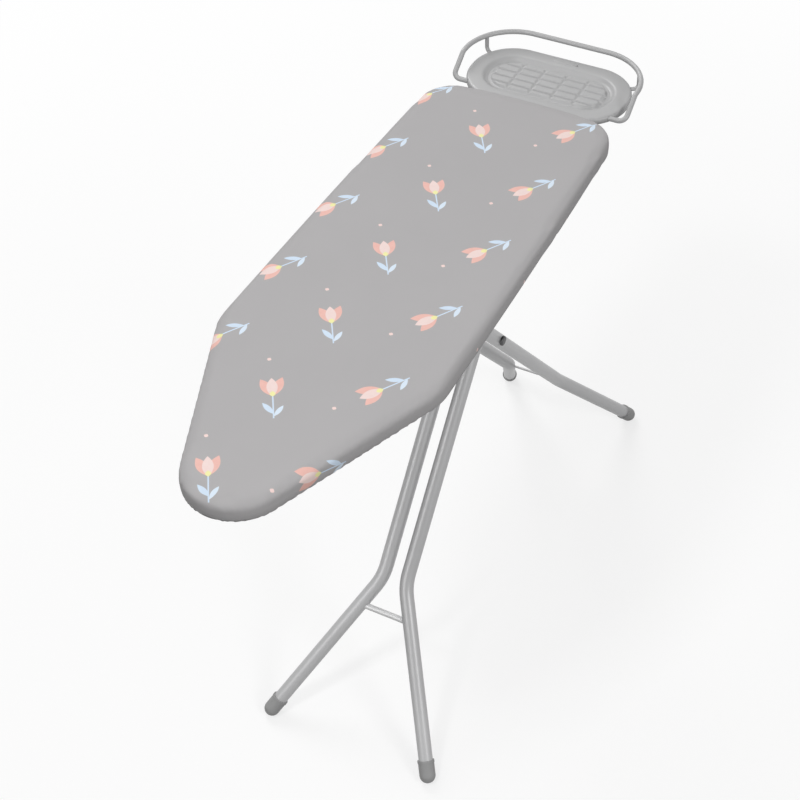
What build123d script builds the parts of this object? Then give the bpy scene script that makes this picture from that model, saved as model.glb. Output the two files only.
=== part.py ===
"""Folding ironing board: padded cover on a steel mesh top, railed iron rest, crossed tube legs.

The board stands opened at its highest setting. +X runs from the nose to the iron rest, +Y to the
left seen from the nose, +Z up, and the origin is on the floor under the middle of the whole board.
"""

import os
from math import acos, atan2, cos, hypot, pi, radians, sin, tan

from build123d import *

os.makedirs("parts", exist_ok=True)

# Board: heights, outline and layers
board_height = 845.0
board_length = 909.0
board_width = 330.0
end_width = 303.0
shoulder_from_nose = 289.0
nose_radius = 72.0
shoulder_round = 90.0
end_corner_round = 58.0
end_bow = 9.0
side_bow = 3.0
cover_thickness = 1.2
hem_width = 15.0
pad_thickness = 10.0
pad_round = 5.5
soft_clearance = 0.3
mesh_thickness = 1.2
mesh_border = 24.0
mesh_hole_length = 30.0
mesh_hole_width = 17.0
mesh_pitch_x = 40.0
mesh_pitch_y = 27.0
rim_height = 10.5
rim_wall = 1.5
rim_lip_width = 12.0
rim_lip_thickness = 1.2
rib_width = 30.0
rib_wall = 1.2

# Legs: two crossed frames of bent tube on one pivot
hinge_from_end = 23.2
hinge_drop = 63.5
pivot_share = 0.7038
leg_angle = radians(50.5)
tube_radius = 11.5
tube_wall = 1.2
bend_distance = 420.0
bend_radius = 95.0
front_spacing = 40.0
front_spread = 288.0
rear_spacing = 97.0
rear_spread = 251.0
front_brace_radius = 5.0
brace_share = 0.2
rear_brace_width = 9.0
rear_brace_thickness = 4.0
rear_brace_from_bend = 14.0
foot_radius = 13.0
foot_flat_depth = 1.2
foot_length = 24.0
foot_collar_radius = 13.7
foot_collar_length = 4.0
top_plug_length = 14.0
top_plug_thickness = 2.0

# Pivots, hinge and slide
running_clearance = 0.05
side_clearance = 0.3
pivot_radius = 4.0
bolt_head_radius = 8.0
bolt_head_height = 4.5
spacer_radius = 8.5
hinge_rod_radius = 4.0
hinge_head_radius = 7.0
hinge_head_height = 2.5
sleeve_overhang = 4.0
sleeve_margin = 1.0
bracket_wall = 3.0
bracket_eye_radius = 12.0
slide_bar_radius = 6.0
bush_radius = 8.0
bush_flange_radius = 11.0
bush_flange_width = 3.0
slot_clearance = 0.4
rail_spread = 142.0
rail_wall = 2.0
rail_flange_width = 14.0
rail_below_slot = 6.0
rail_overrun = 18.0
slide_end_room = 12.0

# Height release: a rod across the guide rails turns a toothed comb above the slide bar
release_ahead_of_bar = 41.0
release_rise = 17.0
release_rod_radius = 4.0
release_reach = 118.0
release_bend_radius = 14.0
handle_length = 118.0
grip_length = 84.0
grip_radius = 8.5
comb_width = 14.0
comb_bar_gap = 1.0
comb_hub_radius = 8.0
comb_spine = 8.0
comb_tooth_depth = 7.0
comb_pitch = 24.0
comb_notch_width = 14.0
comb_length = 268.0

# Iron rest: pressed oval tray, wire rail, hooks and carrying arms
tray_gap = 4.0
tray_depth = 146.0
tray_width = 264.0
tray_corner = 70.0
tray_below_board = 18.0
tray_skirt = 10.0
tray_sheet = 1.2
tray_edge_round = 3.0
recess_rim = 25.0
recess_depth = 6.5
recess_draft = 25.0
pad_rows = 5
pad_columns = 5
pad_gap = 6.0
pad_height = 1.4
pad_field_margin = 10.0
emboss_length = 36.0
emboss_width = 9.0
emboss_height = 0.8
wire_radius = 4.0
hook_radius = 3.2
rail_offset = 12.0
rail_rise = 21.0
rail_run = 37.0
rail_entry_ahead = 42.0
wire_bend = 12.0
hook_angle = radians(55.0)
hook_bend = 7.0
arm_spacing = 160.0
arm_radius = 4.0
arm_end_margin = 20.0
socket_width = 20.0
socket_wall = 4.0

# Places worked out from the sizes above
hinge_z = board_height - hinge_drop
pivot_height = pivot_share * hinge_z
upper_arm = (hinge_z - pivot_height) / sin(leg_angle)
nose_to_pivot = board_length - hinge_from_end - upper_arm * cos(leg_angle)
foot_centre_height = foot_radius - foot_flat_depth
foot_distance = (pivot_height - foot_centre_height) / sin(leg_angle)
rear_reach = foot_distance * cos(leg_angle) + foot_radius
pivot_x = (nose_to_pivot - rear_reach) / 2
nose_x = pivot_x - nose_to_pivot
end_x = nose_x + board_length
shoulder_x = nose_x + shoulder_from_nose
hinge_x = pivot_x + upper_arm * cos(leg_angle)
slide_x = pivot_x - upper_arm * cos(leg_angle)
folded_slide_x = hinge_x - 2 * upper_arm
pad_top = board_height - cover_thickness - soft_clearance
pad_bottom = pad_top - pad_thickness
mesh_top_z = pad_bottom - soft_clearance
mesh_bottom = mesh_top_z - mesh_thickness
rim_bottom = mesh_bottom - rim_height
rib_bottom = rim_bottom + rim_lip_thickness
cover_bottom = rim_bottom - soft_clearance - cover_thickness
skin = cover_thickness + soft_clearance
rib_end_x = hinge_x - rib_width / 2 + 2 * running_clearance
release_x = slide_x + release_ahead_of_bar
release_z = hinge_z + release_rise
rib_middle_x = release_x
rib_nose_x = folded_slide_x - release_ahead_of_bar


def drawn_in(corner, arriving, leaving, inset):
    """A corner of the outline moved in, so that the sides at the two angles each move in by the inset."""
    reach = inset / cos((leaving - arriving) / 2)
    middle = (arriving + leaving) / 2
    return (corner[0] + reach * sin(middle), corner[1] - reach * cos(middle))


def board_face(inset, height):
    """The board's outline, drawn in by the inset, as a face at the given height."""
    shoulder = (shoulder_x, board_width / 2)
    end_corner = (end_x - end_bow, end_width / 2)
    nose_centre = nose_x + nose_radius
    span = hypot(shoulder[0] - nose_centre, shoulder[1])
    turn = atan2(shoulder[1], shoulder[0] - nose_centre) + acos(nose_radius / span)
    tangent = (nose_centre + (nose_radius - inset) * cos(turn), (nose_radius - inset) * sin(turn))
    side_length = hypot(end_corner[0] - shoulder[0], end_corner[1] - shoulder[1])
    side_angle = atan2(end_corner[1] - shoulder[1], end_corner[0] - shoulder[0])
    side_turn = 2 * atan2(side_bow, side_length / 2)
    end_turn = 2 * atan2(end_bow, end_width / 2)
    side_middle = ((shoulder[0] + end_corner[0]) / 2, (shoulder[1] + end_corner[1]) / 2 + side_bow - inset)
    shoulder = drawn_in(shoulder, turn - pi / 2, side_angle + side_turn, inset)
    end_corner = drawn_in(end_corner, side_angle - side_turn, end_turn - pi / 2, inset)
    with BuildSketch(Plane.XY.offset(height)) as face:
        with BuildLine():
            ThreePointArc((tangent[0], -tangent[1]), (nose_x + inset, 0), tangent)
            Line(tangent, shoulder)
            ThreePointArc(shoulder, side_middle, end_corner)
            ThreePointArc(end_corner, (end_x - inset, 0), (end_corner[0], -end_corner[1]))
            ThreePointArc(
                (end_corner[0], -end_corner[1]),
                (side_middle[0], -side_middle[1]),
                (shoulder[0], -shoulder[1]),
            )
            Line((shoulder[0], -shoulder[1]), (tangent[0], -tangent[1]))
        make_face()
        fillet(face.vertices().sort_by(Axis.X)[2:4], shoulder_round - inset)
        fillet(face.vertices().sort_by(Axis.X)[-2:], end_corner_round - inset)
    return face.sketch


def bent_path(points, radii):
    """A wire through the points, with each inner corner rounded to its radius."""
    points = [Vector(*point) for point in points]
    start = points[0]
    with BuildLine() as path:
        for before, corner, after, radius in zip(points, points[1:], points[2:], radii):
            arriving = (corner - before).normalized()
            leaving = (after - corner).normalized()
            half_turn = radians(arriving.get_angle(leaving)) / 2
            enter = corner - arriving * (radius * tan(half_turn))
            leave = corner + leaving * (radius * tan(half_turn))
            middle = corner + (leaving - arriving).normalized() * (radius / cos(half_turn) - radius)
            Line(start, enter)
            ThreePointArc(enter, middle, leave)
            start = leave
        Line(start, points[-1])
    return path.wire()


def start_of(path):
    """The plane square to a path at its first point."""
    return Plane(origin=path @ 0, z_dir=path % 0)


def across(x, y, z):
    """A plane square to Y through the point, whose normal points to +Y."""
    return Plane(origin=(x, y, z), x_dir=(1, 0, 0), z_dir=(0, 1, 0))


def leg_point(direction, distance, side_offset):
    """A point on a leg frame, measured from the pivot down the leg; direction is -1 for the front."""
    x = pivot_x + direction * distance * cos(leg_angle)
    return Vector(x, side_offset, pivot_height - distance * sin(leg_angle))


def leg_path(direction, top, spacing, spread, side):
    """A leg tube's centre line, from its upper end past the bend to the middle of its foot."""
    upper = leg_point(direction, top, side * spacing / 2)
    bend = leg_point(direction, bend_distance, side * spacing / 2)
    foot = leg_point(direction, foot_distance, side * spread / 2)
    return bent_path([upper, bend, foot], [bend_radius])


def save(part, name):
    """Label a finished piece and write its file."""
    part.label = name
    export_step(part, f"parts/{name}.step")


sides = {"left": 1, "right": -1}

# Cover: a skin stretched over the pad and drawn in under the rim
with BuildPart() as cover_space:
    space_bottom = rim_bottom - soft_clearance
    extrude(board_face(cover_thickness, space_bottom), amount=pad_top + soft_clearance - space_bottom)
    fillet(cover_space.faces().sort_by(Axis.Z)[-1].edges(), pad_round + soft_clearance)
with BuildPart() as cover:
    extrude(board_face(0, cover_bottom), amount=board_height - cover_bottom)
    fillet(cover.faces().sort_by(Axis.Z)[-1].edges(), pad_round + skin)
    add(cover_space.part, mode=Mode.SUBTRACT)
    extrude(board_face(hem_width, cover_bottom), amount=cover_thickness, mode=Mode.SUBTRACT)
save(cover.part, "cover")

# Pad: foam sheet with rounded upper edges
with BuildPart() as foam_pad:
    extrude(board_face(skin, pad_bottom), amount=pad_thickness)
    fillet(foam_pad.faces().sort_by(Axis.Z)[-1].edges(), pad_round)
save(foam_pad.part, "foam_pad")


def half_width_at(x):
    """Half the board's straight-sided width at a station along it."""
    if x < shoulder_x:
        share = (x - nose_x) / shoulder_from_nose
        return nose_radius / 2 + share * (board_width / 2 - nose_radius / 2)
    share = (x - shoulder_x) / (end_x - shoulder_x)
    return (board_width + share * (end_width - board_width)) / 2


# Mesh top: steel sheet with staggered diamond holes for the steam
mesh_holes = []
columns = int((board_length - 2 * mesh_border) / mesh_pitch_x)
rows = int(board_width / 2 / mesh_pitch_y) + 1
for column in range(columns + 1):
    x = end_x - mesh_border - end_bow - mesh_hole_length / 2 - column * mesh_pitch_x
    shift = (column % 2) * mesh_pitch_y / 2
    for row in range(-rows, rows + 1):
        y = row * mesh_pitch_y + shift
        room = half_width_at(x - mesh_hole_length / 2) - mesh_border - mesh_hole_width / 2
        if abs(y) < room and x - mesh_hole_length / 2 > nose_x + mesh_border:
            mesh_holes.append((x, y))
with BuildPart() as mesh_top:
    with BuildSketch(Plane.XY.offset(mesh_bottom)):
        add(board_face(skin, 0))
        with Locations(mesh_holes):
            with BuildLine():
                Polyline(
                    (-mesh_hole_length / 2, 0),
                    (0, mesh_hole_width / 2),
                    (mesh_hole_length / 2, 0),
                    (0, -mesh_hole_width / 2),
                    close=True,
                )
            make_face(mode=Mode.SUBTRACT)
    extrude(amount=mesh_thickness)
save(mesh_top.part, "mesh_top")

# Rim: one band bent round the outline, with its lower edge turned in
with BuildPart() as rim_frame:
    extrude(board_face(skin, rim_bottom), amount=rim_height)
    extrude(board_face(skin + rim_wall, rib_bottom), amount=rim_height, mode=Mode.SUBTRACT)
    extrude(board_face(skin + rim_lip_width, rim_bottom), amount=rim_height, mode=Mode.SUBTRACT)
save(rim_frame.part, "rim_frame")

# Ribs: channels across the board, ends on the rim's lip and open side up against the mesh
for name, rib_x in {"rib_end": rib_end_x, "rib_middle": rib_middle_x, "rib_nose": rib_nose_x}.items():
    with BuildPart() as rib:
        with BuildSketch(Plane.XY.offset(rib_bottom)):
            with Locations((rib_x, 0)):
                Rectangle(rib_width, board_width)
        extrude(amount=mesh_bottom - rib_bottom)
        extrude(board_face(skin + rim_wall, rib_bottom), amount=mesh_bottom - rib_bottom, mode=Mode.INTERSECT)
        with BuildSketch(Plane.XY.offset(rib_bottom + rib_wall)):
            with Locations((rib_x, 0)):
                Rectangle(rib_width - 2 * rib_wall, board_width)
        extrude(amount=mesh_bottom - rib_bottom, mode=Mode.SUBTRACT)
    save(rib.part, name)

# Front leg: hinge sleeve, two bent tubes, brace and foot caps
sleeve_length = front_spacing + 2 * tube_radius + 2 * sleeve_overhang
with BuildPart() as front_sleeve:
    with BuildSketch(across(hinge_x, -sleeve_length / 2, hinge_z)):
        Circle(tube_radius + sleeve_margin)
        Circle(hinge_rod_radius + running_clearance, mode=Mode.SUBTRACT)
    extrude(amount=sleeve_length)
save(front_sleeve.part, "front_sleeve")

for side_name, side in sides.items():
    path = leg_path(-1, -upper_arm, front_spacing, front_spread, side)
    with BuildPart() as front_tube:
        with BuildSketch(start_of(path)):
            Circle(tube_radius)
        sweep(path=path)
        with BuildSketch(start_of(path)):
            Circle(tube_radius - tube_wall)
        sweep(path=path, mode=Mode.SUBTRACT)
        with BuildSketch(across(hinge_x, -front_spacing, hinge_z)):
            Circle(tube_radius + sleeve_margin)
        extrude(amount=2 * front_spacing, mode=Mode.SUBTRACT)
        with BuildSketch(across(pivot_x, -front_spacing, pivot_height)):
            Circle(pivot_radius + running_clearance)
        extrude(amount=2 * front_spacing, mode=Mode.SUBTRACT)
    save(front_tube.part, f"front_tube_{side_name}")

brace_distance = bend_distance + brace_share * (foot_distance - bend_distance)
brace_span = front_spacing + brace_share * (front_spread - front_spacing)
with BuildPart() as front_brace:
    brace_start = leg_point(-1, brace_distance, -brace_span / 2)
    with BuildSketch(across(*brace_start)):
        Circle(front_brace_radius)
    extrude(amount=brace_span)
    for side in sides.values():
        path = leg_path(-1, -upper_arm, front_spacing, front_spread, side)
        with BuildSketch(start_of(path)):
            Circle(tube_radius)
        sweep(path=path, mode=Mode.SUBTRACT)
save(front_brace.part, "front_brace")

# Rear leg: two bent tubes outside the front pair, flat brace, slide bar with bushes, end plugs
for side_name, side in sides.items():
    path = leg_path(1, -upper_arm - top_plug_length, rear_spacing, rear_spread, side)
    with BuildPart() as rear_tube:
        with BuildSketch(start_of(path)):
            Circle(tube_radius)
        sweep(path=path)
        with BuildSketch(start_of(path)):
            Circle(tube_radius - tube_wall)
        sweep(path=path, mode=Mode.SUBTRACT)
        with BuildSketch(across(slide_x, -rear_spacing, hinge_z)):
            Circle(slide_bar_radius + running_clearance)
        extrude(amount=2 * rear_spacing, mode=Mode.SUBTRACT)
        with BuildSketch(across(pivot_x, -rear_spacing, pivot_height)):
            Circle(pivot_radius + running_clearance)
        extrude(amount=2 * rear_spacing, mode=Mode.SUBTRACT)
    save(rear_tube.part, f"rear_tube_{side_name}")

    with BuildPart() as tube_plug:
        with BuildSketch(start_of(path)):
            Circle(tube_radius)
        extrude(amount=-top_plug_thickness)
        with BuildSketch(start_of(path)):
            Circle(tube_radius - tube_wall - running_clearance)
        extrude(amount=top_plug_length - slide_bar_radius - side_clearance)
        plug_end = tube_plug.faces().filter_by(GeomType.PLANE).sort_by(Axis.Z)[-1]
        fillet(plug_end.edges(), top_plug_thickness / 2)
    save(tube_plug.part, f"tube_plug_{side_name}")

rear_brace_distance = bend_distance + rear_brace_from_bend
flare = (rear_spread - rear_spacing) / (foot_distance - bend_distance)
rear_brace_span = rear_spacing + rear_brace_from_bend * flare
with BuildPart() as rear_brace:
    brace_start = leg_point(1, rear_brace_distance, -rear_brace_span / 2)
    leg_run = Vector(cos(leg_angle), 0, -sin(leg_angle))
    with BuildSketch(Plane(origin=brace_start, x_dir=leg_run, z_dir=(0, 1, 0))):
        SlotOverall(rear_brace_width, rear_brace_thickness)
    extrude(amount=rear_brace_span)
    for side in sides.values():
        path = leg_path(1, -upper_arm, rear_spacing, rear_spread, side)
        with BuildSketch(start_of(path)):
            Circle(tube_radius)
        sweep(path=path, mode=Mode.SUBTRACT)
save(rear_brace.part, "rear_brace")

bar_half = rail_spread / 2 + rail_wall + bush_flange_width + side_clearance
with BuildPart() as slide_bar:
    with BuildSketch(across(slide_x, -bar_half, hinge_z)):
        Circle(slide_bar_radius)
    extrude(amount=2 * bar_half)
save(slide_bar.part, "slide_bar")

for side_name, side in sides.items():
    inner_face = rail_spread / 2 - side_clearance
    outer_face = rail_spread / 2 + rail_wall + side_clearance
    with BuildPart() as slide_bush:
        for radius, low, high in (
            (bush_flange_radius, inner_face - bush_flange_width, inner_face),
            (bush_radius, inner_face, outer_face),
            (bush_flange_radius, outer_face, outer_face + bush_flange_width),
        ):
            with BuildSketch(across(slide_x, side * (low + high) / 2, hinge_z)):
                Circle(radius)
                Circle(slide_bar_radius + running_clearance, mode=Mode.SUBTRACT)
            extrude(amount=(high - low) / 2, both=True)
    save(slide_bush.part, f"slide_bush_{side_name}")

# Foot caps: sockets on the tube ends with a round toe, worn flat where they meet the floor
for leg_name, direction, spacing, spread in (
    ("front", -1, front_spacing, front_spread),
    ("rear", 1, rear_spacing, rear_spread),
):
    for side_name, side in sides.items():
        toe = leg_point(direction, foot_distance, side * spread / 2)
        bend = leg_point(direction, bend_distance, side * spacing / 2)
        run = (toe - bend).normalized()
        with BuildPart() as foot_cap:
            with BuildSketch(Plane(origin=toe, z_dir=run)):
                Circle(foot_radius)
            extrude(amount=-foot_length)
            with BuildSketch(Plane(origin=toe - run * foot_length, z_dir=run)):
                Circle(foot_collar_radius)
            extrude(amount=foot_collar_length)
            with Locations(toe):
                Sphere(foot_radius)
            with BuildSketch(Plane(origin=toe, z_dir=run)):
                Circle(tube_radius + running_clearance)
            extrude(amount=-foot_length, mode=Mode.SUBTRACT)
            split(bisect_by=Plane.XY, keep=Keep.TOP)
        save(foot_cap.part, f"{leg_name}_foot_{side_name}")

# Leg pivot: one bolt through all four tubes, with spacers between the frames
inner_tube_side = front_spacing / 2 + tube_radius
outer_tube_inside = rear_spacing / 2 - tube_radius
outer_tube_side = rear_spacing / 2 + tube_radius + side_clearance
with BuildPart() as pivot_bolt:
    with BuildSketch(across(pivot_x, -outer_tube_side, pivot_height)):
        Circle(pivot_radius)
    extrude(amount=2 * outer_tube_side + bolt_head_height)
    with BuildSketch(across(pivot_x, -outer_tube_side - bolt_head_height, pivot_height)):
        Circle(bolt_head_radius)
    extrude(amount=bolt_head_height)
    fillet(pivot_bolt.faces().sort_by(Axis.Y)[0].edges(), bolt_head_height / 2)
save(pivot_bolt.part, "pivot_bolt")

with BuildPart() as pivot_nut:
    with BuildSketch(across(pivot_x, outer_tube_side, pivot_height)):
        RegularPolygon(bolt_head_radius, 6)
        Circle(pivot_radius + running_clearance, mode=Mode.SUBTRACT)
    extrude(amount=bolt_head_height)
save(pivot_nut.part, "pivot_nut")

for side_name, side in sides.items():
    spacer_length = outer_tube_inside - side_clearance - inner_tube_side
    with BuildPart() as pivot_spacer:
        with BuildSketch(across(pivot_x, side * (inner_tube_side + spacer_length / 2), pivot_height)):
            Circle(spacer_radius)
            Circle(pivot_radius + running_clearance, mode=Mode.SUBTRACT)
        extrude(amount=spacer_length / 2, both=True)
    save(pivot_spacer.part, f"pivot_spacer_{side_name}")

# Hinge of the front leg: a bent bracket under the end rib, and a headed rod
ear_inside = sleeve_length / 2 + side_clearance
ear_outside = ear_inside + bracket_wall
with BuildPart() as hinge_bracket:
    with BuildSketch(across(0, -ear_outside, 0)):
        with BuildLine():
            Polyline(
                (rib_end_x - rib_width / 2, -rib_bottom),
                (rib_end_x + rib_width / 2, -rib_bottom),
                (hinge_x + bracket_eye_radius, -hinge_z),
                (hinge_x - bracket_eye_radius, -hinge_z),
                close=True,
            )
        make_face()
        with Locations((hinge_x, -hinge_z)):
            Circle(bracket_eye_radius)
            Circle(hinge_rod_radius + running_clearance, mode=Mode.SUBTRACT)
    extrude(amount=2 * ear_outside)
    with BuildSketch(Plane.XY.offset(rib_bottom - bracket_wall)):
        with Locations((hinge_x, 0)):
            Rectangle(4 * rib_width, 2 * ear_inside)
    extrude(amount=-rib_bottom, mode=Mode.SUBTRACT)
save(hinge_bracket.part, "hinge_bracket")

with BuildPart() as hinge_rod:
    with BuildSketch(across(hinge_x, -ear_outside, hinge_z)):
        Circle(hinge_rod_radius)
    extrude(amount=2 * ear_outside)
    for side in sides.values():
        with BuildSketch(across(hinge_x, side * (ear_outside + hinge_head_height / 2), hinge_z)):
            Circle(hinge_head_radius)
        extrude(amount=hinge_head_height / 2, both=True)
save(hinge_rod.part, "hinge_rod")

# Guide rails: slotted angles under the ribs, in which the slide bar's bushes run
slot_half = bush_radius + slot_clearance
rail_low = hinge_z - slot_half - rail_below_slot
rail_start = rib_nose_x - rail_overrun
rail_finish = rib_middle_x + rail_overrun
slot_start = folded_slide_x - slide_end_room - bush_radius
slot_finish = slide_x + slot_half
for side_name, side in sides.items():
    wall_middle = side * (rail_spread + rail_wall) / 2
    with BuildPart() as guide_rail:
        with BuildSketch(across((rail_start + rail_finish) / 2, wall_middle, (rail_low + rib_bottom) / 2)):
            Rectangle(rail_finish - rail_start, rib_bottom - rail_low)
        extrude(amount=rail_wall / 2, both=True)
        with BuildSketch(across((slot_start + slot_finish) / 2, wall_middle, hinge_z)):
            SlotOverall(slot_finish - slot_start, 2 * slot_half)
        extrude(amount=rail_wall, both=True, mode=Mode.SUBTRACT)
        with BuildSketch(across(release_x, wall_middle, release_z)):
            Circle(release_rod_radius + running_clearance)
        extrude(amount=rail_wall, both=True, mode=Mode.SUBTRACT)
        flange_y = side * (rail_spread + rail_flange_width) / 2
        with BuildSketch(Plane.XY.offset(rib_bottom - rail_wall)):
            with Locations(((rail_start + rail_finish) / 2, flange_y)):
                Rectangle(rail_finish - rail_start, rail_flange_width)
        extrude(amount=rail_wall)
    save(guide_rail.part, f"guide_rail_{side_name}")

# Height release: bent rod with a grip, and the comb that it lifts off the slide bar
rod_end = rail_spread / 2 + rail_wall + bush_flange_width
handle_end_x = release_x - handle_length
with BuildPart() as release_rod:
    path = bent_path(
        [
            (release_x, rod_end, release_z),
            (release_x, -release_reach, release_z),
            (handle_end_x, -release_reach, release_z),
        ],
        [release_bend_radius],
    )
    with BuildSketch(start_of(path)):
        Circle(release_rod_radius)
    sweep(path=path)
save(release_rod.part, "release_rod")

with BuildPart() as release_grip:
    grip_plane = Plane(origin=(handle_end_x, -release_reach, release_z), z_dir=(1, 0, 0))
    with BuildSketch(grip_plane.offset(-grip_radius)):
        Circle(grip_radius)
    extrude(amount=grip_length)
    fillet(release_grip.edges().filter_by(GeomType.CIRCLE), grip_radius / 2)
    with BuildSketch(grip_plane):
        Circle(release_rod_radius + running_clearance)
    extrude(amount=grip_length, mode=Mode.SUBTRACT)
save(release_grip.part, "release_grip")

comb_low = hinge_z + slide_bar_radius + comb_bar_gap
comb_high = comb_low + comb_tooth_depth + comb_spine
notch_count = int((comb_length - release_ahead_of_bar) / comb_pitch)
with BuildPart() as release_comb:
    with BuildSketch(across(0, -comb_width / 2, 0)):
        with BuildLine():
            Polyline(
                (release_x, -comb_low),
                (release_x, -comb_high),
                (release_x - comb_length, -comb_high),
                (release_x - comb_length, -comb_low),
                close=True,
            )
        make_face()
        with Locations((release_x, -release_z)):
            Circle(comb_hub_radius)
        with Locations([(slide_x - index * comb_pitch, -comb_low) for index in range(notch_count)]):
            RectangleRounded(comb_notch_width, 2 * comb_tooth_depth, comb_notch_width / 4, mode=Mode.SUBTRACT)
        with Locations((release_x, -release_z)):
            Circle(release_rod_radius + running_clearance, mode=Mode.SUBTRACT)
    extrude(amount=comb_width)
save(release_comb.part, "release_comb")

# Iron rest tray: pressed sheet with a turned-down skirt and a sunk floor of raised pads
tray_top = board_height - tray_below_board
tray_x = end_x + tray_gap + tray_depth / 2
tray_low = tray_top - tray_skirt
floor_top = tray_top - recess_depth
recess_x = tray_depth - 2 * recess_rim
recess_y = tray_width - 2 * recess_rim
recess_corner = tray_corner - recess_rim
field_x = recess_x - 2 * pad_field_margin
field_y = recess_y - 2 * pad_field_margin
pitch_x = field_x / pad_rows
pitch_y = field_y / pad_columns
arm_z = floor_top - tray_sheet - arm_radius
with BuildPart() as iron_tray:
    with BuildSketch(Plane.XY.offset(tray_low)):
        with Locations((tray_x, 0)):
            RectangleRounded(tray_depth, tray_width, tray_corner)
    extrude(amount=tray_skirt)
    fillet(iron_tray.faces().sort_by(Axis.Z)[-1].edges(), tray_edge_round)
    with BuildSketch(Plane.XY.offset(tray_low)):
        with Locations((tray_x, 0)):
            RectangleRounded(
                tray_depth - 2 * tray_sheet, tray_width - 2 * tray_sheet, tray_corner - tray_sheet
            )
    extrude(amount=tray_skirt - tray_edge_round, mode=Mode.SUBTRACT)
    with BuildSketch(Plane.XY.offset(tray_top - tray_edge_round)):
        with Locations((tray_x, 0)):
            RectangleRounded(
                tray_depth - 2 * tray_edge_round,
                tray_width - 2 * tray_edge_round,
                tray_corner - tray_edge_round,
            )
    extrude(amount=tray_edge_round - tray_sheet, mode=Mode.SUBTRACT)
    with BuildSketch(Plane.XY.offset(tray_top - tray_sheet)):
        with Locations((tray_x, 0)):
            RectangleRounded(recess_x + 2 * tray_sheet, recess_y + 2 * tray_sheet, recess_corner + tray_sheet)
    extrude(amount=-recess_depth, taper=recess_draft)
    with BuildSketch(Plane.XY.offset(tray_top)):
        with Locations((tray_x, 0)):
            RectangleRounded(recess_x, recess_y, recess_corner)
    extrude(amount=-recess_depth, taper=recess_draft, mode=Mode.SUBTRACT)
    with BuildSketch(Plane.XY.offset(floor_top)):
        with Locations((tray_x, 0)):
            with GridLocations(pitch_x, pitch_y, pad_rows, pad_columns):
                RectangleRounded(pitch_x - pad_gap / 2, pitch_y - pad_gap, pad_gap / 3)
        with Locations((tray_x, 0)):
            RectangleRounded(
                recess_x - 2 * pad_field_margin / 2,
                recess_y - 2 * pad_field_margin / 2,
                recess_corner - pad_field_margin / 2,
                mode=Mode.INTERSECT,
            )
    extrude(amount=pad_height)
    with BuildSketch(Plane.XY.offset(tray_top)):
        with Locations((tray_x + tray_depth / 2 - recess_rim / 2, 0)):
            SlotOverall(emboss_length, emboss_width, rotation=90)
    extrude(amount=emboss_height)
    with BuildSketch(Plane(origin=(end_x, 0, arm_z), x_dir=(0, 1, 0), z_dir=(1, 0, 0))):
        with GridLocations(arm_spacing, 0, 2, 1):
            Circle(arm_radius + running_clearance)
    extrude(amount=tray_gap + recess_rim, mode=Mode.SUBTRACT)
save(iron_tray.part, "iron_tray")

# Iron rest rail: wire that leaves the tray's sides, climbs and runs round behind it
wire_z = tray_top - tray_skirt / 2
rail_z = tray_top + rail_rise
rail_x = tray_x + tray_depth / 2 + rail_offset
rail_y = tray_width / 2 + rail_offset
rail_corner = tray_corner + rail_offset
entry_x = tray_x - rail_entry_ahead
rail_path = bent_path(
    [
        (entry_x, -tray_width / 2 + tray_corner, wire_z),
        (entry_x, -rail_y, wire_z),
        (entry_x + rail_run, -rail_y, rail_z),
        (rail_x, -rail_y, rail_z),
        (rail_x, rail_y, rail_z),
        (entry_x + rail_run, rail_y, rail_z),
        (entry_x, rail_y, wire_z),
        (entry_x, tray_width / 2 - tray_corner, wire_z),
    ],
    [wire_bend, wire_bend, rail_corner, rail_corner, wire_bend, wire_bend],
)
with BuildPart() as rest_rail:
    with BuildSketch(start_of(rail_path)):
        Circle(wire_radius)
    sweep(path=rail_path)
    with BuildSketch(Plane.XY.offset(tray_low)):
        with Locations((tray_x, 0)):
            RectangleRounded(tray_depth, tray_width, tray_corner)
    extrude(amount=tray_skirt, mode=Mode.SUBTRACT)
save(rest_rail.part, "rest_rail")

# Rail hooks: short wires from under the rail, bent in to the tray's skirt
for side_name, side in sides.items():
    corner_x = tray_x + tray_depth / 2 - tray_corner
    corner_y = tray_width / 2 - tray_corner
    out_x = cos(hook_angle)
    out_y = side * sin(hook_angle)
    corner = Vector(corner_x, side * corner_y, 0)
    top_point = corner + Vector(out_x, out_y, 0) * rail_corner + Vector(0, 0, rail_z)
    low_point = corner + Vector(out_x, out_y, 0) * rail_corner + Vector(0, 0, wire_z)
    hook_end = corner + Vector(out_x, out_y, 0) * (tray_corner - hook_bend) + Vector(0, 0, wire_z)
    path = bent_path([top_point, low_point, hook_end], [hook_bend])
    with BuildPart() as rail_hook:
        with BuildSketch(start_of(path)):
            Circle(hook_radius)
        sweep(path=path)
        with BuildSketch(start_of(rail_path)):
            Circle(wire_radius)
        sweep(path=rail_path, mode=Mode.SUBTRACT)
        with BuildSketch(Plane.XY.offset(tray_low)):
            with Locations((tray_x, 0)):
                RectangleRounded(tray_depth, tray_width, tray_corner)
        extrude(amount=tray_skirt, mode=Mode.SUBTRACT)
    save(rail_hook.part, f"rail_hook_{side_name}")

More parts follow.
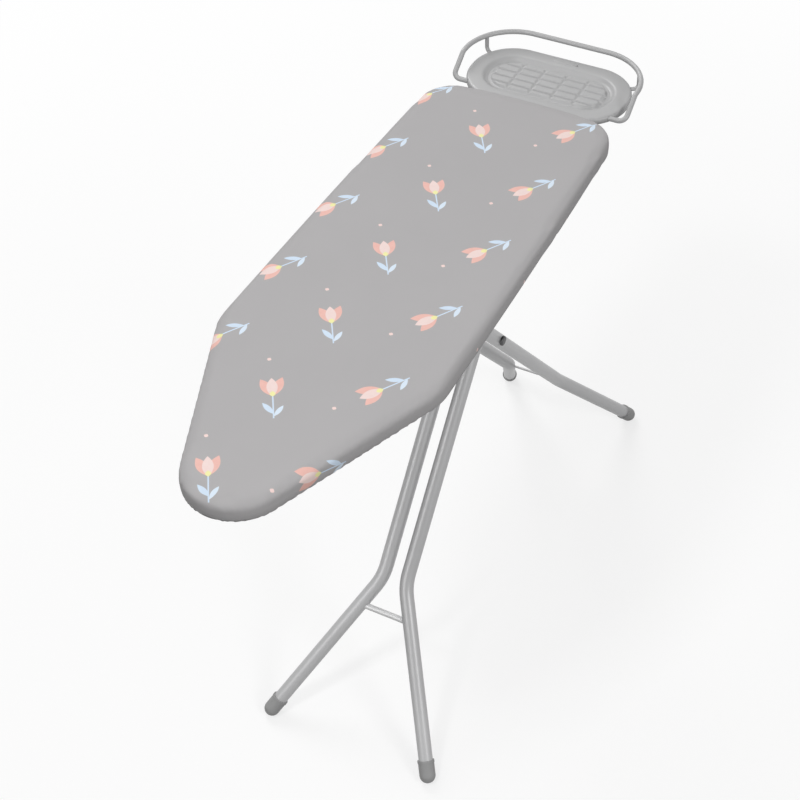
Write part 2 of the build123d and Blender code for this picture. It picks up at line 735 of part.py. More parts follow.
# Arms that carry the tray, each held in a socket under the end rib
arm_start = rib_end_x - rib_width / 2
arm_finish = tray_x + recess_x / 2 - arm_end_margin
for side_name, side in sides.items():
    with BuildPart() as rest_socket:
        socket_low = arm_z - arm_radius - socket_wall
        with BuildSketch(Plane.XY.offset(socket_low)):
            with Locations((rib_end_x, side * arm_spacing / 2)):
                Rectangle(rib_width, socket_width)
        extrude(amount=rib_bottom - socket_low)
        with BuildSketch(Plane(origin=(arm_start, side * arm_spacing / 2, arm_z), z_dir=(1, 0, 0))):
            Circle(arm_radius + running_clearance)
        extrude(amount=rib_width, mode=Mode.SUBTRACT)
    save(rest_socket.part, f"rest_socket_{side_name}")

    with BuildPart() as rest_arm:
        with BuildSketch(Plane(origin=(arm_start, side * arm_spacing / 2, arm_z), z_dir=(1, 0, 0))):
            Circle(arm_radius)
        extrude(amount=arm_finish - arm_start)
    save(rest_arm.part, f"rest_arm_{side_name}")
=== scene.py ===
import math

import bmesh
import bpy
from mathutils import Matrix, Vector
from mathutils.bvhtree import BVHTree


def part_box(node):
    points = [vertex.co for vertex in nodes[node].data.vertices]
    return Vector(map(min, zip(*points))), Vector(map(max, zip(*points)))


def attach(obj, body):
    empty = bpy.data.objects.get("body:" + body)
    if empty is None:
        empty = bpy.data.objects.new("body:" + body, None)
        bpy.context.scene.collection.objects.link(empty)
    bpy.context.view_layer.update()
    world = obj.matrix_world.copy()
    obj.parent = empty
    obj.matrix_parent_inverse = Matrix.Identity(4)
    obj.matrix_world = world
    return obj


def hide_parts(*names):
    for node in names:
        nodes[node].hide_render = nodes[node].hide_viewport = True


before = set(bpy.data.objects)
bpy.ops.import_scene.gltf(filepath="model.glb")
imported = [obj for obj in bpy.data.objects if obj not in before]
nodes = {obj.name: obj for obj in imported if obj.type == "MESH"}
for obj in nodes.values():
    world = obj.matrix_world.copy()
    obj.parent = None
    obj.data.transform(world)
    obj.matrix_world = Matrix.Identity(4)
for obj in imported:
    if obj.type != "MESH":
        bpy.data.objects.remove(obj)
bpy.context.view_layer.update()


# Steel top frame: a punched mesh sheet, the band bent round its edge, the cross ribs and the slotted
# guide rails under them. Pressed and spot-welded sheet steel, dipped and powder coated grey.
class Link:
    """A socket of a material's node tree. Arithmetic on it adds Math nodes to that tree."""

    def __init__(self, tree, socket):
        self.tree = tree
        self.socket = socket

    def node(self, kind, output, settings=None, inputs=None):
        """Adds a node of the kind, sets it up, fills its inputs and returns the named output."""
        made = self.tree.nodes.new(kind)
        for name, value in (settings or {}).items():
            setattr(made, name, value)
        for name, value in (inputs or {}).items():
            if isinstance(value, Link):
                self.tree.links.new(value.socket, made.inputs[name])
            else:
                made.inputs[name].default_value = value
        return Link(self.tree, made.outputs[output])

    def maths(self, operation, first, second=0.0):
        """Adds a Math node on two values or links."""
        return self.node("ShaderNodeMath", 0, {"operation": operation}, {0: first, 1: second})

    def __add__(self, other):
        return self.maths("ADD", self, other)

    __radd__ = __add__

    def __sub__(self, other):
        return self.maths("SUBTRACT", self, other)

    def __rsub__(self, other):
        return self.maths("SUBTRACT", other, self)

    def __mul__(self, other):
        return self.maths("MULTIPLY", self, other)

    __rmul__ = __mul__

    def __truediv__(self, other):
        return self.maths("DIVIDE", self, other)

    def __abs__(self):
        return self.maths("ABSOLUTE", self)


def new_material(name):
    """An empty material, its shader node and a link to start its nodes from."""
    material = bpy.data.materials.new(name)
    material.use_nodes = True
    tree = material.node_tree
    shader = tree.nodes["Principled BSDF"]
    where = Link(tree, tree.nodes.new("ShaderNodeTexCoord").outputs["Object"])
    return material, shader, where


def blend_colours(start, share, first, second):
    """A colour between two others."""
    inputs = {"Factor": share, 6: first, 7: second}
    return start.node("ShaderNodeMix", 2, {"data_type": "RGBA"}, inputs)


def noise(start, where, size, detail=2.0):
    """Smooth noise whose lumps are about size metres across."""
    inputs = {"Vector": where, "Scale": 1.0 / size, "Detail": detail, "Roughness": 0.5}
    return start.node("ShaderNodeTexNoise", "Fac", {"noise_dimensions": "3D"}, inputs)


def bump(start, height, depth, strength):
    """A normal pushed about by a height from 0 to 1, depth metres deep."""
    inputs = {"Height": height, "Distance": depth, "Strength": strength}
    return start.node("ShaderNodeBump", "Normal", None, inputs)


def plug(material_link, shader, **inputs):
    """Joins links, or sets values, on a shader's inputs; an underscore stands for a space."""
    for name, value in inputs.items():
        socket = shader.inputs[name.replace("_", " ")]
        if isinstance(value, Link):
            material_link.tree.links.new(value.socket, socket)
        else:
            socket.default_value = value


def powder_coat(name, colour, worn, metal, gloss):
    """Baked powder paint: a fine orange-peel skin, cloudy gloss and a faint fleck."""
    material, shader, where = new_material(name)
    cloud = noise(where, where, 0.045, 3.0)
    fleck = noise(where, where, 0.0011, 1.0)
    peel = noise(where, where, 0.0024, 2.0)
    share = cloud * 0.55 + fleck * 0.45
    plug(
        where,
        shader,
        Base_Color=blend_colours(where, share, worn, colour),
        Roughness=gloss + cloud * 0.10 + fleck * 0.05,
        Metallic=metal,
        Normal=bump(where, peel, 0.0003, 0.05),
        Specular_IOR_Level=0.35,
    )
    return material


def finish_node(node, material):
    """Gives a CAD node its finished material."""
    data = nodes[node].data
    data.materials.clear()
    data.materials.append(material)


frame_paint = powder_coat("frame_powder_coat", (0.36, 0.36, 0.37, 1), (0.31, 0.31, 0.32, 1), 0.1, 0.42)
for node in ("mesh_top", "rim_frame", "rib_end", "rib_middle", "rib_nose", "hinge_bracket", "release_comb"):
    finish_node(node, frame_paint)
for side in ("left", "right"):
    finish_node(f"guide_rail_{side}", frame_paint)
    finish_node(f"rest_socket_{side}", frame_paint)


# Foam pad: one sheet of polyurethane foam cut to the outline, its upper edge rounded off by the pull
# of the cover. It lies loose on the mesh.
def finished_mesh(piece):
    """A new mesh of a piece as its modifiers leave it."""
    return bpy.data.meshes.new_from_object(piece.evaluated_get(bpy.context.evaluated_depsgraph_get()))


def remeshed_copy(name, node, low, high, voxel):
    """A copy of a CAD slab stretched to a new box, its floor moved with it, in even quads."""
    node_low, node_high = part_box(node)
    mould = bmesh.new()
    mould.from_mesh(nodes[node].data)
    bmesh.ops.remove_doubles(mould, verts=mould.verts, dist=1e-5)
    just_above_floor = node_low[2] + 1e-4
    for vert in mould.verts:
        for axis in (0, 1):
            share = (vert.co[axis] - node_low[axis]) / (node_high[axis] - node_low[axis])
            vert.co[axis] = low[axis] + share * (high[axis] - low[axis])
        vert.co.z = low[2] if vert.co.z < just_above_floor else vert.co.z + high[2] - node_high[2]
    data = bpy.data.meshes.new(f"{name}_mould")
    mould.to_mesh(data)
    mould.free()
    block = bpy.data.objects.new(f"{name}_mould", data)
    bpy.context.collection.objects.link(block)
    remesh = block.modifiers.new("even_quads", "REMESH")
    remesh.mode = "VOXEL"
    remesh.voxel_size = voxel
    finished = finished_mesh(block)
    bpy.data.objects.remove(block)
    piece = bpy.data.objects.new(name, finished)
    finished.name = name
    bpy.context.collection.objects.link(piece)
    for polygon in finished.polygons:
        polygon.use_smooth = True
    return piece


pad_low, pad_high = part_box("foam_pad")
pad_trim = Vector((0.002, 0.002, 0.0))
pad_voxel = 0.005
pad = remeshed_copy("pad", "foam_pad", Vector(pad_low) + pad_trim, Vector(pad_high) - pad_trim, pad_voxel)
foam, foam_shader, foam_where = new_material("open_foam")
foam_cells_per_metre = 900.0
foam_cells = foam_where.node(
    "ShaderNodeTexVoronoi", "Distance", None, {"Vector": foam_where, "Scale": foam_cells_per_metre}
)
plug(
    foam_where,
    foam_shader,
    Base_Color=blend_colours(foam_where, foam_cells, (0.55, 0.54, 0.5, 1), (0.78, 0.77, 0.73, 1)),
    Roughness=0.95,
    Normal=bump(foam_where, foam_cells, 0.0008, 0.6),
)
pad.data.materials.append(foam)
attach(pad, "board")
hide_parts("foam_pad")


# Cover: one piece of printed cotton pulled over the pad by a drawn hem under the edge band, so its
# edge is soft and round. Sprigs are printed in half-dropped rows on a plain grey ground.
cover_low, cover_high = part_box("cover")
cover_voxel = 0.0055
cover_hem_rise = 0.003
cover_swell = 0.0022
cover_pressure = 4.0
cover_last_step = 15
cloth_thickness = 0.0008
hem_faces_down = -0.7
hem_smoothing = 6
cloth_smoothing = 2
below_cover = 0.05
cover = remeshed_copy("cover_cloth", "foam_pad", cover_low, cover_high, cover_voxel)

cover_node = BVHTree.FromObject(nodes["cover"], bpy.context.evaluated_depsgraph_get())
cloth_mesh = bmesh.new()
cloth_mesh.from_mesh(cover.data)
beyond_hem = []
for face in cloth_mesh.faces:
    middle = face.calc_center_median()
    if face.normal.z < hem_faces_down and middle.z < cover_low[2] + cover_hem_rise:
        start = Vector((middle.x, middle.y, cover_low[2] - below_cover))
        hit = cover_node.ray_cast(start, Vector((0, 0, 1)))[0]
        if hit is None or hit.z > cover_low[2] + cover_hem_rise:
            beyond_hem.append(face)
bmesh.ops.delete(cloth_mesh, geom=beyond_hem, context="FACES")
for turn in range(hem_smoothing):
    bmesh.ops.smooth_vert(
        cloth_mesh,
        verts=[vert for vert in cloth_mesh.verts if vert.is_boundary],
        factor=0.5,
        use_axis_x=True,
        use_axis_y=True,
        use_axis_z=False,
    )
for turn in range(cloth_smoothing):
    bmesh.ops.smooth_vert(
        cloth_mesh,
        verts=[vert for vert in cloth_mesh.verts if not vert.is_boundary],
        factor=0.5,
        use_axis_x=True,
        use_axis_y=True,
        use_axis_z=True,
    )
cloth_mesh.to_mesh(cover.data)
cloth_mesh.free()

held = cover.vertex_groups.new(name="held")
rest_places = [vert.co.copy() for vert in cover.data.vertices]
rest_normals = [vert.normal.copy() for vert in cover.data.vertices]
hem = [vert.index for vert in cover.data.vertices if vert.co.z < cover_low[2] + cover_hem_rise]
held.add(hem, 1.0, "REPLACE")
cloth = cover.modifiers.new("pulled_cloth", "CLOTH")
cloth.settings.effector_weights.gravity = 0.0
cloth.settings.use_pressure = True
cloth.settings.uniform_pressure_force = cover_pressure
cloth.settings.vertex_group_mass = "held"
cloth.settings.quality = 5
scene = bpy.context.scene
for step in range(1, cover_last_step + 1):
    scene.frame_set(step)
puffed = finished_mesh(cover)
cover.modifiers.clear()
cover.vertex_groups.clear()
for vert, rest, outward in zip(cover.data.vertices, rest_places, rest_normals):
    push = (puffed.vertices[vert.index].co - rest).dot(outward)
    vert.co = rest + outward * min(max(push, 0.0), cover_swell)
bpy.data.meshes.remove(puffed)
scene.frame_set(1)

cover_finer = cover.modifiers.new("finer", "SUBSURF")
cover_finer.levels = 1
cover_finer.render_levels = 1
coarse_cover = cover.data
cover.data = finished_mesh(cover)
cover.modifiers.clear()
bpy.data.meshes.remove(coarse_cover)
cover.data.name = "cover_cloth"

# Where the smoothing drew the cloth into the edge band, it is laid over the band again
band_cover = 0.0014
band_reach = 0.02
edge_band = BVHTree.FromObject(nodes["rim_frame"], bpy.context.evaluated_depsgraph_get())
cover_normals = [vert.normal.copy() for vert in cover.data.vertices]
for vert, outward in zip(cover.data.vertices, cover_normals):
    met = edge_band.ray_cast(vert.co + outward * band_reach, -outward, 2 * band_reach)[0]
    if met is not None:
        vert.co += outward * max((met - vert.co).dot(outward) + band_cover, 0.0)

edge_start = 0.004
edge_lean = 0.05
print_map = cover.data.uv_layers.new(name="print")
for loop in cover.data.loops:
    vert = cover.data.vertices[loop.vertex_index]
    outward = Vector((vert.normal.x, vert.normal.y))
    drop = cover_high[2] - vert.co.z
    wrapped = Vector((vert.co.x, vert.co.y))
    if outward.length > edge_lean and drop > edge_start:
        wrapped += outward.normalized() * (drop - edge_start)
    print_map.data[loop.index].uv = wrapped

cover_wall = cover.modifiers.new("cloth_thickness", "SOLIDIFY")
cover_wall.thickness = cloth_thickness
cover_wall.offset = -1.0

cotton, cotton_shader, cotton_where = new_material("printed_cotton")
printed = cotton_where.node("ShaderNodeUVMap", "UV", {"uv_map": "print"})
along = printed.node("ShaderNodeSeparateXYZ", "X", None, {"Vector": printed})
over = printed.node("ShaderNodeSeparateXYZ", "Y", None, {"Vector": printed})

# The print's repeat: rows run across the board, every second row is dropped half a repeat and mirrored
row_pitch = 0.118
column_pitch = 0.150
sprig_turn = math.radians(34)
rows_before = 20.35
columns_before = 20.1
row_place = over / row_pitch + rows_before
row = row_place.maths("FLOOR", row_place)
odd = row.maths("MODULO", row, 2.0)
column_place = along / column_pitch + columns_before + odd * 0.5
cell_x = column_place.maths("FRACT", column_place)
cell_y = row_place.maths("FRACT", row_place)
flip = 1 - odd * 2.0
place_x = (cell_x - 0.5) * column_pitch * flip
place_y = (cell_y - 0.5) * row_pitch
sprig_x = place_x * math.cos(sprig_turn) + place_y * math.sin(sprig_turn)
sprig_y = place_y * math.cos(sprig_turn) - place_x * math.sin(sprig_turn)


def leaf_shape(x, y, centre, length, width, turn):
    """1 inside a pointed oval of that length and width, 0 outside, with a soft printed edge."""
    dx = x - centre[0]
    dy = y - centre[1]
    lengthways = (dx * math.cos(turn) + dy * math.sin(turn)) / (length / 2)
    sideways = abs(dy * math.cos(turn) - dx * math.sin(turn)) / (width / 2)
    inside = 1 - lengthways * lengthways - sideways
    inputs = {0: inside, 1: 0.0, 2: 0.12}
    return inside.node("ShaderNodeMapRange", 0, {"interpolation_type": "SMOOTHSTEP"}, inputs)


def line_shape(x, y, start, end, width):
    """1 on a straight stroke between two points, 0 off it."""
    run = Vector(end) - Vector(start)
    turn = math.atan2(run.y, run.x)
    dx = x - start[0]
    dy = y - start[1]
    lengthways = abs(dx * math.cos(turn) + dy * math.sin(turn) - run.length / 2) - run.length / 2
    sideways = abs(dy * math.cos(turn) - dx * math.sin(turn)) - width / 2
    outside = lengthways.maths("MAXIMUM", lengthways, sideways)
    inputs = {0: outside, 1: -0.0002, 2: 0.0004, 3: 1.0, 4: 0.0}
    return outside.node("ShaderNodeMapRange", 0, {"interpolation_type": "SMOOTHSTEP"}, inputs)


weave_size = 0.0009
weave_x = along.maths("SINE", along * (2 * math.pi / weave_size))
weave_y = over.maths("SINE", over * (2 * math.pi / weave_size))
weave = weave_x * weave_y * 0.5 + 0.5
mottle = noise(cotton_where, cotton_where, 0.09, 3.0)
ground_share = mottle * 0.6 + weave * 0.4
ground = blend_colours(cotton_where, ground_share, (0.425, 0.415, 0.42, 1), (0.465, 0.455, 0.46, 1))
coral_share = noise(printed, printed, 0.006)
coral = blend_colours(cotton_where, coral_share, (0.84, 0.48, 0.42, 1), (0.88, 0.56, 0.50, 1))
blush_share = noise(printed, printed, 0.005)
blush = blend_colours(cotton_where, blush_share, (0.88, 0.68, 0.64, 1), (0.90, 0.75, 0.72, 1))
stem_blue = (0.66, 0.78, 0.92, 1)
pale_blue = (0.72, 0.82, 0.93, 1)
inks = (
    (line_shape(sprig_x, sprig_y, (-0.036, 0.001), (0.006, 0.0), 0.0016), stem_blue),
    (leaf_shape(sprig_x, sprig_y, (-0.018, 0.007), 0.026, 0.008, math.radians(32)), stem_blue),
    (leaf_shape(sprig_x, sprig_y, (-0.024, -0.006), 0.022, 0.007, math.radians(-36)), pale_blue),
    (leaf_shape(sprig_x, sprig_y, (0.019, 0.007), 0.036, 0.015, math.radians(24)), coral),
    (leaf_shape(sprig_x, sprig_y, (0.019, -0.007), 0.036, 0.015, math.radians(-24)), coral),
    (leaf_shape(sprig_x, sprig_y, (0.019, 0.0), 0.034, 0.015, 0.0), blush),
    (leaf_shape(sprig_x, sprig_y, (0.007, 0.0), 0.010, 0.008, 0.0), (0.90, 0.86, 0.42, 1)),
    (leaf_shape(place_x, place_y, (0.058, 0.040), 0.006, 0.006, 0.0), (0.90, 0.70, 0.66, 1)),
)
colour = ground
for shape, ink in inks:
    colour = blend_colours(cotton_where, shape, colour, ink)
plug(
    cotton_where,
    cotton_shader,
    Base_Color=colour,
    Roughness=0.82 + mottle * 0.1,
    Normal=bump(cotton_where, weave, 0.00025, 0.35),
    Sheen_Weight=0.06,
    Sheen_Roughness=0.5,
    Specular_IOR_Level=0.15,
)
cover.data.materials.append(cotton)
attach(cover, "board")
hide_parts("cover")


# Iron tray: one oval of sheet steel, pressed with a rolled edge, a sunk floor and a waffle of low
# pads that let the heat out. An oblong is embossed on its rear rim, beside a small drain hole.
tray_low, tray_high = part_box("iron_tray")
tray_half = ((tray_high[0] - tray_low[0]) / 2, (tray_high[1] - tray_low[1]) / 2)
tray_middle = ((tray_high[0] + tray_low[0]) / 2, (tray_high[1] + tray_low[1]) / 2)
emboss_height = 0.0008
tray_top = tray_high[2] - emboss_height
tray_corner = 0.070
tray_sheet = 0.0012
floor_drop = 0.0065
floor_inset = 0.034
floor_lap = 0.0035
pad_columns = 5
pad_rows = 5
pad_pitch = (0.0160, 0.0365)
pad_rise = 0.0040
pad_slope = (0.0030, 0.0036)
pad_column_depth = 0.42
pad_groove = 0.0004
pad_edge = (0.003, 0.007)
floor_step = 0.0009
tray_profile = (
    (0.0, -0.0100),
    (0.0, -0.0042),
    (0.0005, -0.0024),
    (0.0016, -0.0009),
    (0.0034, -0.0001),
    (0.0060, 0.0),
    (0.0150, 0.0),
    (0.0225, 0.0),
    (0.0245, -0.0003),
    (0.0262, -0.0012),
    (0.0280, -0.0030),
    (0.0298, -0.0049),
    (0.0316, -0.0061),
    (0.0345, -0.0067),
)
corner_turns = 24


def rounded_face(bm, half, corner, middle, height):
    """A flat face with round corners, for a pressing to start from."""
    earlier = set(bm.faces)
    flat = bmesh.ops.create_grid(bm, x_segments=1, y_segments=1, size=1.0)["verts"]
    bmesh.ops.scale(bm, vec=(half[0], half[1], 1.0), verts=flat)
    bmesh.ops.translate(bm, vec=(middle[0], middle[1], height), verts=flat)
    bmesh.ops.bevel(
        bm, geom=flat, offset=corner, segments=corner_turns, profile=0.5, affect="VERTICES", material=-1
    )
    return next(face for face in bm.faces if face not in earlier)


def press(bm, face, profile):
    """Takes a face through a profile's steps, each an inset from the outline and a height."""
    for (inset, rise), (next_inset, next_rise) in zip(profile, profile[1:]):
        bmesh.ops.inset_individual(
            bm, faces=[face], thickness=next_inset - inset, depth=next_rise - rise, use_even_offset=True
        )


def inset_at(x, y):
    """How far inside the tray's outline a place is."""
    beyond_x = max(abs(x - tray_middle[0]) - tray_half[0] + tray_corner, 0)
    beyond_y = max(abs(y - tray_middle[1]) - tray_half[1] + tray_corner, 0)
    return tray_corner - math.hypot(beyond_x, beyond_y)


def soft_step(value, low, high):
    """0 below low, 1 above high, smooth between."""
    share = min(max((value - low) / (high - low), 0), 1)
    return share * share * (3 - 2 * share)


def pad_share(offset, pitch, slope, count):
    """1 on the crown of the pads along one axis, falling to 0 in the grooves between them."""
    if abs(offset) > pitch * count / 2:
        return 0.0
    within = abs((offset / pitch + count / 2) % 1 - 0.5) * pitch
    return 1 - soft_step(within, pitch / 2 - slope, pitch / 2 - pad_groove)


tray_mesh = bmesh.new()
blank = rounded_face(tray_mesh, tray_half, tray_corner, tray_middle, tray_top + tray_profile[0][1])
press(tray_mesh, blank, tray_profile)
bmesh.ops.delete(tray_mesh, geom=[blank], context="FACES_ONLY")

floor_half = [half - floor_inset + floor_lap for half in tray_half]
floor_counts = [round(2 * half / floor_step) for half in floor_half]
sunk_floor = bmesh.ops.create_grid(
    tray_mesh, x_segments=floor_counts[0], y_segments=floor_counts[1], size=1.0
)["verts"]
bmesh.ops.scale(tray_mesh, vec=(floor_half[0], floor_half[1], 1.0), verts=sunk_floor)
bmesh.ops.translate(tray_mesh, vec=(tray_middle[0], tray_middle[1], tray_top - floor_drop), verts=sunk_floor)
for vert in sunk_floor:
    crown = pad_share(vert.co.x - tray_middle[0], pad_pitch[0], pad_slope[0], pad_rows)
    column_crown = pad_share(vert.co.y - tray_middle[1], pad_pitch[1], pad_slope[1], pad_columns)
    crown *= 1 - pad_column_depth * (1 - column_crown)
    inside = inset_at(vert.co.x, vert.co.y) - floor_inset
    crown *= soft_step(inside, pad_edge[0], pad_edge[1])
    vert.co.z += pad_rise * crown
under_rim = [vert for vert in sunk_floor if inset_at(vert.co.x, vert.co.y) < floor_inset - floor_lap]
bmesh.ops.delete(tray_mesh, geom=under_rim, context="VERTS")

hole_radius = 0.0016
hole_margin = 1.5
hole_inset = 0.0125
hole_offset = 0.0225
hole_middle = Vector((tray_high[0] - hole_inset, tray_middle[1] - hole_offset, tray_top))


def rim_face_at(place):
    """The level face of the rim that a place lies on."""
    level = [face for face in tray_mesh.faces if abs(face.calc_center_median().z - tray_top) < 1e-5]
    return next(face for face in level if bmesh.geometry.intersect_face_point(face, place))


for direction in ((1, 0, 0), (-1, 0, 0), (0, 1, 0), (0, -1, 0)):
    crossed = rim_face_at(hole_middle)
    bmesh.ops.bisect_plane(
        tray_mesh,
        geom=[crossed, *crossed.edges, *crossed.verts],
        plane_co=hole_middle + Vector(direction) * hole_radius * hole_margin,
        plane_no=direction,
    )
square = rim_face_at(hole_middle)
square_edges = list(square.edges)
bmesh.ops.delete(tray_mesh, geom=[square], context="FACES_ONLY")
hole_ring = bmesh.ops.create_circle(
    tray_mesh, cap_ends=False, segments=16, radius=hole_radius, matrix=Matrix.Translation(hole_middle)
)["verts"]
hole_edges = list({edge for vert in hole_ring for edge in vert.link_edges})
bmesh.ops.bridge_loops(tray_mesh, edges=square_edges + hole_edges)

emboss_half = (0.0045, 0.018)
emboss_corner = emboss_half[0] * 0.98
emboss_middle = (hole_middle.x, tray_middle[1])
emboss_profile = ((0.0, -0.0002), (0.0004, 0.0003), (0.0011, 0.0007), (0.0020, emboss_height))
emboss_foot = tray_top + emboss_profile[0][1]
emboss = rounded_face(tray_mesh, emboss_half, emboss_corner, emboss_middle, emboss_foot)
press(tray_mesh, emboss, emboss_profile)

bmesh.ops.remove_doubles(tray_mesh, verts=tray_mesh.verts, dist=1e-6)
bmesh.ops.dissolve_degenerate(tray_mesh, edges=tray_mesh.edges, dist=1e-6)
bmesh.ops.recalc_face_normals(tray_mesh, faces=tray_mesh.faces)
for face in tray_mesh.faces:
    face.smooth = True
tray_data = bpy.data.meshes.new("pressed_tray")
tray_mesh.to_mesh(tray_data)
tray_mesh.free()
tray = bpy.data.objects.new("pressed_tray", tray_data)
bpy.context.collection.objects.link(tray)
tray_wall = tray.modifiers.new("sheet", "SOLIDIFY")
tray_wall.thickness = tray_sheet
tray_wall.offset = -1.0
rest_paint = powder_coat("rest_powder_coat", (0.45, 0.45, 0.45, 1), (0.41, 0.41, 0.415, 1), 0.1, 0.38)
tray_data.materials.append(rest_paint)
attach(tray, "board")
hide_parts("iron_tray")


# Iron rest wires: a bent rail that leaves the tray's skirt, climbs and runs round behind it, its two
# hooks, and the arms that carry the tray. Bright wire, welded and coated with the tray.
finish_node("rest_rail", rest_paint)
for side in ("left", "right"):
    finish_node(f"rail_hook_{side}", rest_paint)
    finish_node(f"rest_arm_{side}", rest_paint)


# Legs: two frames of bent steel tube that cross on one bolt, the front pair inside the rear pair, with
# a welded brace each, all in a silver-grey powder coat. The braces' coat is painted paler: a painted
# highlight.
leg_paint = powder_coat("leg_powder_coat", (0.58, 0.58, 0.585, 1), (0.53, 0.53, 0.535, 1), 0.2, 0.31)
# The leg coat made paler for the braces: a painted highlight for the light they catch.
brace_painted_highlight = powder_coat("brace_coat_painted_highlight", (0.82, 0.82, 0.825, 1), (0.76, 0.76, 0.765, 1), 0.1, 0.28)
for node in ("front_sleeve", "release_rod"):
    finish_node(node, leg_paint)
for leg in ("front", "rear"):
    finish_node(f"{leg}_brace", brace_painted_highlight)
    for side in ("left", "right"):
        finish_node(f"{leg}_tube_{side}", leg_paint)


# Foot caps: soft grey plastic with a faint grain, moulded with a collar at the mouth and pushed on the
# ends of the four tubes.
foot_plastic, foot_shader, foot_where = new_material("foot_cap_plastic")
foot_grain = noise(foot_where, foot_where, 0.0012, 2.0)
foot_cloud = noise(foot_where, foot_where, 0.012, 2.0)
plug(
    foot_where,
    foot_shader,
    Base_Color=blend_colours(foot_where, foot_cloud, (0.33, 0.33, 0.33, 1), (0.38, 0.38, 0.38, 1)),
    Roughness=0.5 + foot_grain * 0.15,
    Normal=bump(foot_where, foot_grain, 0.0003, 0.3),
)
for leg in ("front", "rear"):
    for side in ("left", "right"):
        finish_node(f"{leg}_foot_{side}", foot_plastic)


# Running gear: the slide bushes in the guide rails, the plugs in the rear tubes' upper ends and the grip
# of the height release. All are moulded in dark nylon and pushed on.
dark_plastic, dark_shader, dark_where = new_material("dark_nylon")
dark_grain = noise(dark_where, dark_where, 0.001, 2.0)
plug(
    dark_where,
    dark_shader,
    Base_Color=blend_colours(dark_where, dark_grain, (0.030, 0.030, 0.032, 1), (0.045, 0.045, 0.048, 1)),
    Roughness=0.45 + dark_grain * 0.2,
    Normal=bump(dark_where, dark_grain, 0.0003, 0.3),
)
finish_node("release_grip", dark_plastic)
for side in ("left", "right"):
    finish_node(f"slide_bush_{side}", dark_plastic)
    finish_node(f"tube_plug_{side}", dark_plastic)


# Bolts and rods: turned steel bars and tubes, zinc plated. The spacers, the hinge rod and the slide bar
# stay bright; the pivot bolt and its nut have the plating painted near black, as painted shade at the pivot.
def zinc_plate(name, dull, bright, gloss):
    """Plated steel: a cloudy bare-metal skin between two shades."""
    material, shader, where = new_material(name)
    cloud = noise(where, where, 0.004, 3.0)
    plug(
        where,
        shader,
        Base_Color=blend_colours(where, cloud, dull, bright),
        Roughness=gloss + cloud * 0.2,
        Metallic=1.0,
    )
    return material


bright_zinc = zinc_plate("zinc_plate", (0.52, 0.52, 0.53, 1), (0.66, 0.66, 0.67, 1), 0.28)
for node in ("pivot_spacer_left", "pivot_spacer_right", "hinge_rod", "slide_bar"):
    finish_node(node, bright_zinc)
# A near-black copy of the zinc plating: painted shade for the pivot in shadow.
pivot_zinc_painted_shade = zinc_plate("pivot_plate_painted_shade", (0.06, 0.06, 0.062, 1), (0.11, 0.11, 0.112, 1), 0.32)
for node in ("pivot_bolt", "pivot_nut"):
    finish_node(node, pivot_zinc_painted_shade)


# Studio: a pale floor that keeps the shadow and whitens with distance, a white surround, and soft lamps.
# The lamp low on the left lights only the gloss, so that the tubes under the board show their round form.
def seen_rays(tree):
    """1 for what the camera sees, straight or in a gloss or glass, and 0 for light that falls on things."""
    rays = tree.nodes.new("ShaderNodeLightPath")
    straight, glossy, through = (
        Link(tree, rays.outputs[name]) for name in ("Is Camera Ray", "Is Glossy Ray", "Is Transmission Ray")
    )
    return straight.maths("MINIMUM", straight + glossy + through, 1.0)


floor_mesh = bmesh.new()
studio_half = 14.0
bmesh.ops.create_grid(floor_mesh, x_segments=1, y_segments=1, size=studio_half)
floor_data = bpy.data.meshes.new("studio_floor")
floor_mesh.to_mesh(floor_data)
floor_mesh.free()
floor = bpy.data.objects.new("studio_floor", floor_data)
bpy.context.collection.objects.link(floor)
floor_paint = bpy.data.materials.new("pale_floor")
floor_paint.use_nodes = True
floor_tree = floor_paint.node_tree
floor_tree.nodes.clear()
floor_start = seen_rays(floor_tree)
floor_matt = floor_start.node("ShaderNodeBsdfDiffuse", 0, None, {"Color": (0.28, 0.28, 0.28, 1)})
floor_pale = floor_start.node("ShaderNodeBsdfDiffuse", 0, None, {"Color": (1, 1, 1, 1)})
floor_glow = floor_start.node("ShaderNodeEmission", 0, None, {"Color": (1, 1, 1, 1), "Strength": 1.0})
floor_where = floor_start.node("ShaderNodeTexCoord", "Object")
floor_reach = floor_where.node("ShaderNodeVectorMath", "Value", {"operation": "LENGTH"}, {0: floor_where})
floor_near = 0.6
floor_far = 2.6
floor_near_white = 0.70
floor_range = {0: floor_reach, 1: floor_near, 2: floor_far, 3: floor_near_white, 4: 1.0}
floor_white = floor_reach.node("ShaderNodeMapRange", 0, {"interpolation_type": "SMOOTHSTEP"}, floor_range)
floor_seen = floor_start.node("ShaderNodeMixShader", 0, None, {0: floor_white, 1: floor_pale, 2: floor_glow})
floor_mix = floor_start.node("ShaderNodeMixShader", 0, None, {0: floor_start, 1: floor_matt, 2: floor_seen})
floor_out = floor_tree.nodes.new("ShaderNodeOutputMaterial")
floor_tree.links.new(floor_mix.socket, floor_out.inputs["Surface"])
floor_data.materials.append(floor_paint)

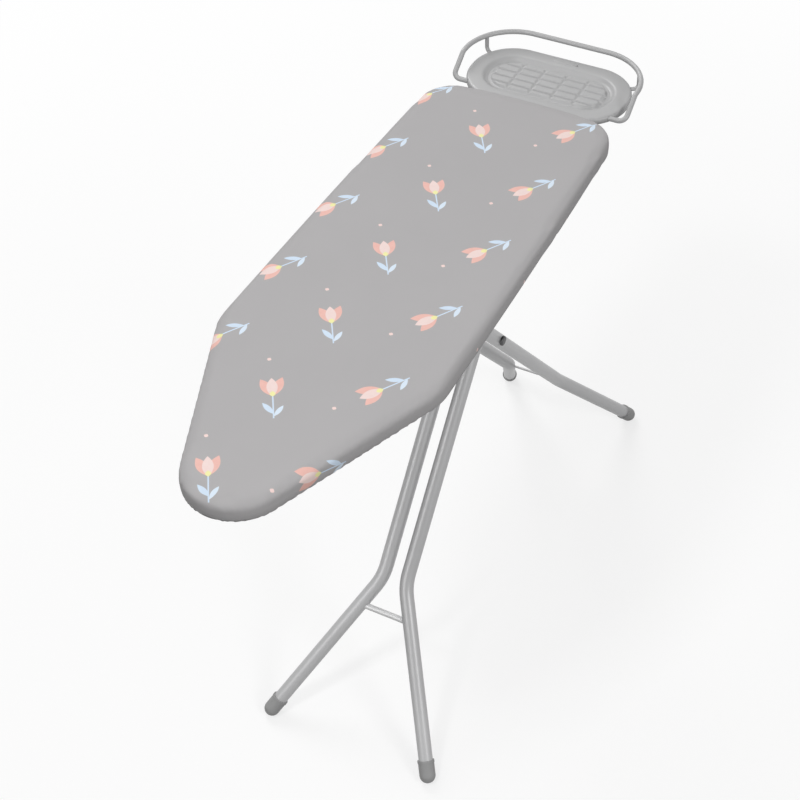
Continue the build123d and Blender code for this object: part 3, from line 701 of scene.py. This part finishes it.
world = bpy.data.worlds.new("studio")
bpy.context.scene.world = world
world.use_nodes = True
world_tree = world.node_tree
world_tree.nodes.clear()
seen = seen_rays(world_tree)
sky = seen.node("ShaderNodeTexCoord", "Generated")
height = sky.node("ShaderNodeSeparateXYZ", "Z", None, {"Vector": sky})
glow_low = 0.18
glow_high = 0.42
glow = height.node("ShaderNodeMapRange", 0, None, {0: height, 1: -0.1, 2: 0.9, 3: glow_low, 4: glow_high})
surround = seen.node("ShaderNodeBackground", 0, None, {"Color": (1, 1, 1, 1), "Strength": glow})
backdrop = seen.node("ShaderNodeBackground", 0, None, {"Color": (1, 1, 1, 1), "Strength": 1.0})
world_mix = seen.node("ShaderNodeMixShader", 0, None, {0: seen, 1: surround, 2: backdrop})
world_out = world_tree.nodes.new("ShaderNodeOutputWorld")
world_tree.links.new(world_mix.socket, world_out.inputs["Surface"])


def add_lamp(name, place, aim, size, power):
    """A square soft lamp at a place, turned to its aim."""
    data = bpy.data.lights.new(name, "AREA")
    data.shape = "SQUARE"
    data.size = size
    data.energy = power
    lamp = bpy.data.objects.new(name, data)
    bpy.context.collection.objects.link(lamp)
    lamp.location = place
    lamp.rotation_euler = (Vector(aim) - Vector(place)).to_track_quat("-Z", "Y").to_euler()
    return lamp


add_lamp("key_lamp", (-1.75, 0.52, 3.40), (-0.2, 0.0, 0.4), 0.5, 30.0)
add_lamp("back_left_lamp", (1.65, 2.00, 2.85), (0.0, 0.0, 0.8), 1.6, 47.0)
add_lamp("right_lamp", (-0.9, -2.40, 2.10), (0.0, 0.0, 0.6), 0.9, 26.0)
gloss_lamp = add_lamp("gloss_lamp", (-2.35, 0.92, 1.55), (0.0, 0.0, 0.45), 1.2, 18.0)
gloss_lamp.visible_diffuse = False

# Camera: where the photograph was taken from, fitted to the board's edges and the feet. Its focal length
# is given in pixels of the square image.
camera_place = Vector((-1.5836, -0.8432, 2.2866))
camera_heading = math.radians(29.643)
camera_dip = math.radians(44.823)
camera_roll = math.radians(-2.756)
focal_pixels = 1649.0
image_width = 800.0
film_width = 36.0
ahead = Vector(
    (
        math.cos(camera_heading) * math.cos(camera_dip),
        math.sin(camera_heading) * math.cos(camera_dip),
        -math.sin(camera_dip),
    )
)
level_right = Vector((math.sin(camera_heading), -math.cos(camera_heading), 0))
level_up = level_right.cross(ahead)
right = level_right * math.cos(camera_roll) + level_up * math.sin(camera_roll)
up = level_up * math.cos(camera_roll) - level_right * math.sin(camera_roll)
camera_data = bpy.data.cameras.new("photo_camera")
camera_data.sensor_fit = "HORIZONTAL"
camera_data.sensor_width = film_width
camera_data.lens = focal_pixels * film_width / image_width
camera = bpy.data.objects.new("photo_camera", camera_data)
bpy.context.collection.objects.link(camera)
camera.matrix_world = Matrix.Translation(camera_place) @ Matrix((right, up, -ahead)).transposed().to_4x4()
bpy.context.scene.camera = camera
bpy.context.scene.view_settings.view_transform = "Standard"
